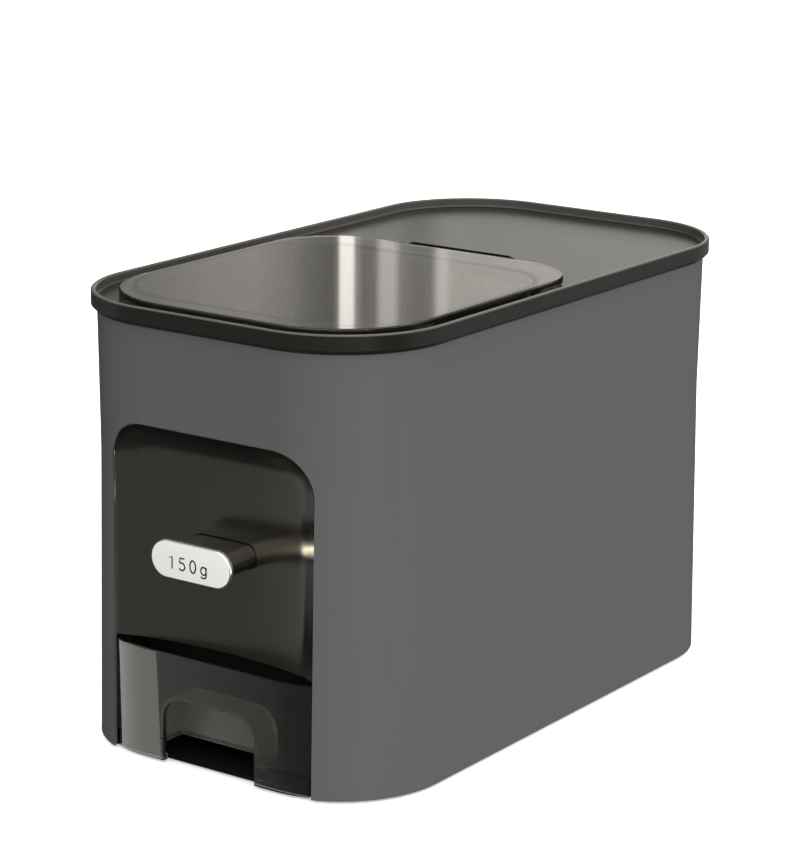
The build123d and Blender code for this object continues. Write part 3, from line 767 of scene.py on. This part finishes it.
materials = {}
for slotName, look in looks.items():
    makeOne = makeSmoked if "shade" in look else makeFinish
    materials[slotName] = makeOne(slotName, look)
for part in frame["record"]["subparts"]:
    mesh = nodes[part["node"]].data
    mesh.materials.clear()
    mesh.materials.append(materials[part["material_slot"]])


# Mesh helpers

mmPerMetre = 1000
weldReach = 1e-7              # metres
rayHalvings = 40
# Corners of a box, numbered by x, then y, then z
boxFaces = ((0, 1, 3, 2), (4, 6, 7, 5), (0, 4, 5, 1), (2, 3, 7, 6), (0, 2, 6, 4), (1, 5, 7, 3))


def mm(value):
    # Turns millimetres into metres
    return value / mmPerMetre


def meshFrom(name, points, faces, slotName, sharpAngle=35):
    mesh = bpy.data.meshes.new(name)
    mesh.from_pydata(points, [], faces)
    work = bmesh.new()
    work.from_mesh(mesh)
    bmesh.ops.remove_doubles(work, verts=work.verts, dist=weldReach)
    bmesh.ops.recalc_face_normals(work, faces=work.faces)
    work.to_mesh(mesh)
    work.free()
    mesh.shade_smooth()
    mesh.set_sharp_from_angle(angle=radians(sharpAngle))
    mesh.materials.append(materials[slotName])
    piece = addObject(name, mesh)
    return piece


def ringFaces(rings, count, closed):
    # Quads between neighbouring rings of the same number of points
    faces = []
    last = rings if closed else rings - 1
    for ring in range(last):
        low = ring * count
        high = (ring + 1) % rings * count
        for step in range(count):
            after = (step + 1) % count
            faces.append((low + step, low + after, high + after, high + step))
    return faces


def alongRay(inside, high):
    # How far a ray from the centre goes before it leaves a shape
    low = 0
    for halving in range(rayHalvings):
        middle = (low + high) / 2
        if inside(middle):
            low = middle
        else:
            high = middle
    return low


# Dispenser panel: a concave front with an arched cove and a bore for the button's body

rim = {
    "inset": 5.4,             # from the rim's face back to the panel's front skin
    "corner": 71.3,           # radius in plan
}
panel = {
    "half": 74.7,
    "low": 72.5,
    "top": 208.7,
    "corner": 26.2,
    "centre": 135.6,          # height of the button
    "dishDeep": 17.2,         # from the front skin back to the dish's middle
    "bow": 9.8,
    "lip": 0.4,
    "coveTop": 20.0,
    "coveSide": 14.0,
    "coveRoom": 1.3,          # the close points reach this much further in than the cove
    "boreHalf": 16.6,
    "boreRadius": 7.7,
    "boreLip": 0.4,
    "earHeights": (98.0, 156.0),   # screw ears at both sides
    "earThick": 3.0,
    "earTall": 12.0,
    "earSunk": 2.5,
    "sillSteps": 44,
    "sideSteps": 32,
    "cornerSteps": 14,
    "topSteps": 28,
    "boreSteps": 5,
    "dishSteps": 16,
    "coveSteps": 14,
    "boreReach": 60,          # the bore's edge is nearer to its centre than this
}


def panelOutline():
    # Starts at the lower left and goes round by the right side and the top
    half, low, top, corner = panel["half"], panel["low"], panel["top"], panel["corner"]
    sill, side, over, bend = (panel[name + "Steps"] for name in ("sill", "side", "top", "corner"))
    points = [(-half + 2 * half * step / sill, low) for step in range(sill)]
    points += [(half, low + (top - corner - low) * step / side) for step in range(side)]
    for step in range(bend):
        angle = pi / 2 * step / bend
        points.append((half - corner + corner * cos(angle), top - corner + corner * sin(angle)))
    points += [(half - corner - 2 * (half - corner) * step / over, top) for step in range(over)]
    for step in range(bend):
        angle = pi / 2 + pi / 2 * step / bend
        points.append((corner - half + corner * cos(angle), top - corner + corner * sin(angle)))
    points += [(-half, top - corner - (top - corner - low) * step / side) for step in range(side)]
    return points


def fromOutline(x, z):
    # Distance in from the sides and the arched top, and how much that edge faces up
    cornerX = panel["half"] - panel["corner"]
    cornerZ = panel["top"] - panel["corner"]
    overX = abs(x) - cornerX
    overZ = z - cornerZ
    if overX > 0 and overZ > 0:
        away = hypot(overX, overZ)
        return panel["corner"] - away, overZ / away
    if panel["half"] - abs(x) < panel["top"] - z:
        return panel["half"] - abs(x), 0
    return panel["top"] - z, 1


def fromBore(x, z):
    # Distance out from the bore's wall
    over = max(abs(x) - panel["boreHalf"], 0)
    return hypot(over, z - panel["centre"]) - panel["boreRadius"]


def panelFront(x, z, frontLine, rimCentre):
    # The front skin at the lip, the bowed dish in the middle, and the cove's quarter round between
    reach, radius = abs(x) - rimCentre[0], rimCentre[2]
    skin = frontLine if reach < 0 else rimCentre[1] - sqrt(radius**2 - reach**2)
    bowRadius = (panel["half"] ** 2 + panel["bow"] ** 2) / (2 * panel["bow"])
    place = frontLine + panel["dishDeep"] - bowRadius + sqrt(bowRadius**2 - x**2)
    edge, facesUp = fromOutline(x, z)
    cove = panel["coveSide"] + (panel["coveTop"] - panel["coveSide"]) * facesUp**2
    if edge < panel["lip"]:
        return skin
    if edge < panel["lip"] + cove:
        share = 1 - (edge - panel["lip"]) / cove
        return place + (skin - place) * (1 - sqrt(1 - share**2))
    lip = panel["boreLip"]
    share = 1 - min(max(fromBore(x, z), 0) / lip, 1)
    return place + lip * (1 - sqrt(1 - share**2))


def panelColumn(x, z, back, frontLine, rimCentre):
    # Front points from the bore's edge out to one point of the outline, then two on the back
    full = hypot(x, z - panel["centre"])
    aimX, aimZ = x / full, (z - panel["centre"]) / full

    def spot(reach):
        return aimX * reach, panel["centre"] + aimZ * reach

    start = alongRay(lambda reach: fromBore(*spot(reach)) < 0, panel["boreReach"])
    seam = alongRay(lambda reach: fromBore(*spot(reach)) < panel["boreLip"], panel["boreReach"])
    cove = min(panel["coveTop"] * panel["coveRoom"], (full - seam) / 2)
    inner = full - panel["lip"] - cove
    bore, dish, bend = panel["boreSteps"], panel["dishSteps"], panel["coveSteps"]
    reaches = [start + (seam - start) * step / bore for step in range(bore)]
    reaches += [seam + (inner - seam) * step / dish for step in range(dish)]
    reaches += [inner + cove * sin(pi / 2 * step / bend) for step in range(bend + 1)]
    reaches.append(full)
    column = []
    for reach in reaches:
        px, pz = spot(reach)
        column.append((px, panelFront(px, pz, frontLine, rimCentre), pz))
    boreX, boreZ = spot(start)
    return column + [(x, back, z), (boreX, back, boreZ)]


def addEar(points, faces, sideways, back, height):
    # Small block that a screw holds, from just inside the panel's edge outwards
    start = len(points)
    for x in sideways:
        for y in (back - panel["earThick"], back):
            for z in (height - panel["earTall"] / 2, height + panel["earTall"] / 2):
                points.append((mm(x), mm(y), mm(z)))
    faces += [tuple(start + corner for corner in face) for face in boxFaces]


def makeDispenserPanel():
    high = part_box("dispenser_panel")[1]
    rimLow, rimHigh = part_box("top_frame")
    back = high.y * mmPerMetre
    skinLow = rimLow.y * mmPerMetre
    frontLine = skinLow + rim["inset"]
    # X and Y of the middle of the right front corner, and the radius of the panel's skin round it
    rimHalf = rimHigh.x * mmPerMetre
    rimCentre = (rimHalf - rim["corner"], skinLow + rim["corner"], rim["corner"] - rim["inset"])
    columns = [panelColumn(x, z, back, frontLine, rimCentre) for x, z in panelOutline()]
    points = []
    for ring in zip(*columns):
        points += [tuple(mm(value) for value in point) for point in ring]
    faces = ringFaces(len(columns[0]), len(columns), True)
    for side in (-1, 1):
        for height in panel["earHeights"]:
            sideways = (side * (panel["half"] - panel["earSunk"]), side * high.x * mmPerMetre)
            addEar(points, faces, sideways, back, height)
    piece = meshFrom("dispenserPanel", points, faces, "panel_plastic")
    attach(piece, "housing")
    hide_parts("dispenser_panel")


makeDispenserPanel()
print("dispenser panel made")


# Button face: a pale plate with a rounded rim and a plain number on it

plate = {
    "bevel": 1.3,
    "backBevel": 0.35,
    "bevelSteps": 6,
    "roundSteps": 40,
}

# Number and unit on the button, as strokes in parts of a digit's height; an arc has its middle,
# its two radii and its first and last angle
mark = {
    "high": 7.8,
    "low": 130.6,
    "stroke": 0.13,
    "arcSteps": 24,
    "starts": (-15.7, -8.7, -0.7, 7.5),
    "strokes": (
        [[(0.02, 0.80), (0.27, 0.97), (0.27, 0.0)]],
        [[(0.58, 0.95), (0.14, 0.95), (0.10, 0.55)], ("arc", 0.30, 0.31, 0.29, 0.29, 130, -150)],
        [("arc", 0.33, 0.48, 0.27, 0.48, 90, -270)],
        [
            ("arc", 0.30, 0.34, 0.25, 0.30, 90, -270),
            [(0.55, 0.66), (0.55, -0.02)],
            ("arc", 0.29, -0.02, 0.26, 0.20, 0, -150),
        ],
    ),
}


def stadiumPoints(wide, tall, centre, steps):
    radius = tall / 2
    half = wide / 2 - radius
    points = []
    for side in (1, -1):
        for step in range(steps + 1):
            angle = -pi / 2 + pi * step / steps
            points.append((side * (half + radius * cos(angle)), centre + side * radius * sin(angle)))
    return points


def makeButtonFace():
    low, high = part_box("button_face")
    wide, tall = (high.x - low.x) * mmPerMetre, (high.z - low.z) * mmPerMetre
    centre = (low.z + high.z) * mmPerMetre / 2
    front, back = low.y * mmPerMetre, high.y * mmPerMetre
    # Each ring is how far in from the outline it lies, and its place along Y
    rings = [(plate["backBevel"], back), (0.0, back - plate["backBevel"])]
    for step in range(plate["bevelSteps"] + 1):
        angle = pi / 2 * step / plate["bevelSteps"]
        inset = plate["bevel"] * (1 - cos(angle))
        rings.append((inset, front + plate["bevel"] * (1 - sin(angle))))
    points = []
    for inset, y in rings:
        for x, z in stadiumPoints(wide - 2 * inset, tall - 2 * inset, centre, plate["roundSteps"]):
            points.append((mm(x), mm(y), mm(z)))
    count = 2 * (plate["roundSteps"] + 1)
    faces = ringFaces(len(rings), count, False)
    faces.append(tuple(range(count)))
    faces.append(tuple(range((len(rings) - 1) * count, len(rings) * count)))
    piece = meshFrom("buttonFace", points, faces, "button_metal")
    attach(piece, "button")
    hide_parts("button_face")


def strokeLine(stroke):
    if stroke[0] != "arc":
        return stroke
    midX, midZ, radiusX, radiusZ, first, last = stroke[1:]
    line = []
    for step in range(mark["arcSteps"] + 1):
        angle = radians(first + (last - first) * step / mark["arcSteps"])
        line.append((midX + radiusX * cos(angle), midZ + radiusZ * sin(angle)))
    return line


def makeButtonMark():
    # Flat ribbons in the front plane of the button's face
    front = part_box("button_face")[0].y * mmPerMetre
    points, faces = [], []
    for start, strokes in zip(mark["starts"], mark["strokes"]):
        for stroke in strokes:
            line = strokeLine(stroke)
            for number, (x, z) in enumerate(line):
                before = line[max(number - 1, 0)]
                after = line[min(number + 1, len(line) - 1)]
                run = hypot(after[0] - before[0], after[1] - before[1])
                side = mark["stroke"] / 2 / run
                offX, offZ = -(after[1] - before[1]) * side, (after[0] - before[0]) * side
                for sign in (-1, 1):
                    px = start + (x + sign * offX) * mark["high"]
                    pz = mark["low"] + (z + sign * offZ) * mark["high"]
                    points.append((mm(px), mm(front), mm(pz)))
                if number:
                    last = len(points)
                    faces.append((last - 4, last - 2, last - 1, last - 3))
    mesh = bpy.data.meshes.new("buttonMark")
    mesh.from_pydata(points, [], faces)
    mesh.materials.append(materials["shutter_plastic"])
    sheet = addObject("buttonMark", mesh)
    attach(sheet, "button")


makeButtonFace()
makeButtonMark()
print("button face made")


# Low dark rib on the deck behind the hinge slot, just clear of the open lid; a dark piece put where the
# shadow behind the lid's rear edge falls, a painted shadow line

shadowLineRib = {
    "half": 46.0,
    "behind": 11.5,           # from the lid's rear edge, clear of the turning lid
    "wide": 1.4,
    "tall": 4.3,
    "endTall": 1.2,
    "endLong": 9.0,
    "soften": 0.3,
    "deckDrop": 5.9,          # the deck lies this far under the rim's top
    "sunk": 0.05,             # into the deck
    "edgeBand": 1.5,          # the lid's edge is looked for this far down from its top
}


def lidRear():
    # The lugs reach further back than the plate, so only points near the top count
    lid = nodes["lid_panel"]
    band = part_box("lid_panel")[1].z - mm(shadowLineRib["edgeBand"])
    return max(point.co.y for point in lid.data.vertices if point.co.z > band) * mmPerMetre


def makeShadowLineRib():
    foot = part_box("top_frame")[1].z * mmPerMetre - shadowLineRib["deckDrop"] - shadowLineRib["sunk"]
    front = lidRear() + shadowLineRib["behind"]
    rear = front + shadowLineRib["wide"]
    half, endLong, soften = shadowLineRib["half"], shadowLineRib["endLong"], shadowLineRib["soften"]
    corners = []                  # four cross sections of six points, low at both ends
    for x, tall in (
        (-half, shadowLineRib["endTall"]), (endLong - half, shadowLineRib["tall"]),
        (half - endLong, shadowLineRib["tall"]), (half, shadowLineRib["endTall"]),
    ):
        top = foot + tall
        for y, z in (
            (front, foot), (front, top - soften), (front + soften, top),
            (rear - soften, top), (rear, top - soften), (rear, foot),
        ):
            corners.append((mm(x), mm(y), mm(z)))
    faces = ringFaces(4, 6, False)
    faces.append(tuple(range(6)))
    faces.append(tuple(range(len(corners) - 6, len(corners))))
    # Black so that it shows as the shadow gap behind the lid: painted shadow
    piece = meshFrom("lidStopRib", corners, faces, "black_plastic")
    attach(piece, "housing")


makeShadowLineRib()
print("stop rib made")


# Return springs, as wire coils in place of the plain spring parts

spring = {
    "wire": 1.2,
    "pitch": 5.2,
    "turnSteps": 24,
    "wireSteps": 8,
    "sharpAngle": 60,
    "travel": 23.7,           # of the button
}


def makeSpring(node):
    low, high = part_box(node)
    half, sides = spring["wire"] / 2, spring["wireSteps"]
    radius = (high.x - low.x) * mmPerMetre / 2 - half
    midX, midZ = (low.x + high.x) * mmPerMetre / 2, (low.z + high.z) * mmPerMetre / 2
    start, end = low.y * mmPerMetre + half, high.y * mmPerMetre - half
    turns = (end - start) / spring["pitch"]
    rings = round(turns * spring["turnSteps"]) + 1
    rise = spring["pitch"] / (2 * pi)
    length = hypot(radius, rise)
    points = []
    for ring in range(rings):
        angle = 2 * pi * turns * ring / (rings - 1)
        out = Vector((cos(angle), 0, sin(angle)))
        along = Vector((-sin(angle) * radius, rise, cos(angle) * radius)) / length
        third = along.cross(out)
        middle = Vector((midX, start + rise * angle, midZ)) + out * radius
        for step in range(sides):
            around = 2 * pi * step / sides
            point = middle + (out * cos(around) + third * sin(around)) * half
            points.append(tuple(mm(value) for value in point))
    faces = ringFaces(rings, sides, False)
    faces.append(tuple(range(sides)))
    faces.append(tuple(range(len(points) - sides, len(points))))
    name = node.replace("return_", "coil_")
    piece = meshFrom(name, points, faces, "spring_steel", spring["sharpAngle"])
    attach(piece, "housing")
    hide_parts(node)
    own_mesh(piece)


for node in ("return_spring_left", "return_spring_right"):
    makeSpring(node)

limitCards(cardReach)
print("cards limited:", len(cardReach))
